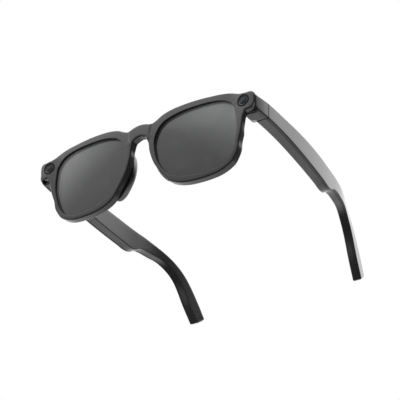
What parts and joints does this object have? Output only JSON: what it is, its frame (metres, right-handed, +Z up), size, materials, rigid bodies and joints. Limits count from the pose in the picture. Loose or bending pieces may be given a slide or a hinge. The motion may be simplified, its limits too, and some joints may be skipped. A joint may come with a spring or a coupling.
{
  "type": "smart glasses",
  "caption": "Full-rim smart glasses with tinted lenses, a camera and a signal light in the endpieces, and folding temples that hold the electronics.",
  "frame": {"origin": "centre of the open glasses' outline at the level of the table they stand on", "axes": "+X towards the wearer's left, -Y the way the wearer looks, +Z up; the temples are open"},
  "size_m": [0.15, 0.1597, 0.0494],
  "materials": {
    "frame_plastic": "polished injection-moulded nylon, charcoal black",
    "shell_plastic": "satin-gloss moulded shell, charcoal",
    "body_plastic": "satin moulded inner body, dark charcoal",
    "tinted_lens": "grey tinted polycarbonate lens, darker at the top of the wearer's view",
    "pad_plastic": "polished black pads",
    "bezel_gloss": "piano black ring",
    "camera_glass": "dark coated cover glass",
    "light_glass": "smoked light window",
    "barrel_black": "anodised black lens barrel",
    "spring_steel": "stamped stainless steel",
    "screw_steel": "plated steel",
    "flex_film": "amber polyimide film with copper tracks",
    "circuit_board": "green solder mask",
    "battery_foil": "aluminium laminate pouch",
    "led_ceramic": "white LED package",
    "steel_mesh": "black woven steel mesh",
    "speaker_black": "black speaker module",
    "can_metal": "tinned metal can",
    "touch_film": "copper sensing film",
    "gold_contact": "gold-plated pads",
    "magnet_nickel": "nickel-plated magnets",
    "button_plastic": "satin black key top"
  },
  "bodies": {
    "front": {"front_frame": "frame_plastic", "brow_cover": "frame_plastic", "front_flex": "flex_film", "lens_left": "tinted_lens", "lens_right": "tinted_lens", "nose_pad_left": "pad_plastic", "nose_pad_right": "pad_plastic", "endpiece_cover_left": "body_plastic", "endpiece_cover_right": "body_plastic", "camera_bezel": "bezel_gloss", "camera_window": "camera_glass", "camera_barrel": "barrel_black", "camera_board": "circuit_board", "light_bezel": "bezel_gloss", "light_window": "light_glass", "light_led": "led_ceramic", "light_board": "circuit_board", "hinge_front_left": "spring_steel", "hinge_front_right": "spring_steel", "hinge_pin_left": "spring_steel", "hinge_pin_right": "spring_steel", "front_screws": "screw_steel"},
    "temple_left": {"temple_shell_left": "shell_plastic", "temple_body_left": "body_plastic", "hinge_temple_left": "spring_steel", "temple_flex_left": "flex_film", "board_left": "circuit_board", "battery_left": "battery_foil", "speaker_left": "speaker_black", "speaker_mesh_left": "steel_mesh", "microphone_left": "can_metal", "core_wire_left": "spring_steel", "temple_screws_left": "screw_steel"},
    "temple_right": {"temple_shell_right": "shell_plastic", "temple_body_right": "body_plastic", "hinge_temple_right": "spring_steel", "temple_flex_right": "flex_film", "board_right": "circuit_board", "battery_right": "battery_foil", "speaker_right": "speaker_black", "speaker_mesh_right": "steel_mesh", "microphone_right": "can_metal", "core_wire_right": "spring_steel", "temple_screws_right": "screw_steel", "touch_pad": "touch_film", "button_switch": "can_metal", "charge_contacts": "gold_contact", "charge_magnets": "magnet_nickel"},
    "capture_button": {"capture_button": "button_plastic"}
  },
  "joints": [
    {"name": "left_fold", "type": "hinge", "parent": "front", "child": "temple_left", "pos_m": [0.0658, -0.06359, 0.0382], "axis": [0, 0, 1], "range_deg": [0, 88]},
    {"name": "right_fold", "type": "hinge", "parent": "front", "child": "temple_right", "pos_m": [-0.0658, -0.06359, 0.0382], "axis": [0, 0, -1], "range_deg": [0, 78]},
    {"name": "button_press", "type": "slide", "parent": "temple_right", "child": "capture_button", "axis": [0, 0, -1], "range_m": [0, 0.0005], "stiffness_N_per_m": 1500, "springref_m": -0.0003}
  ]
}
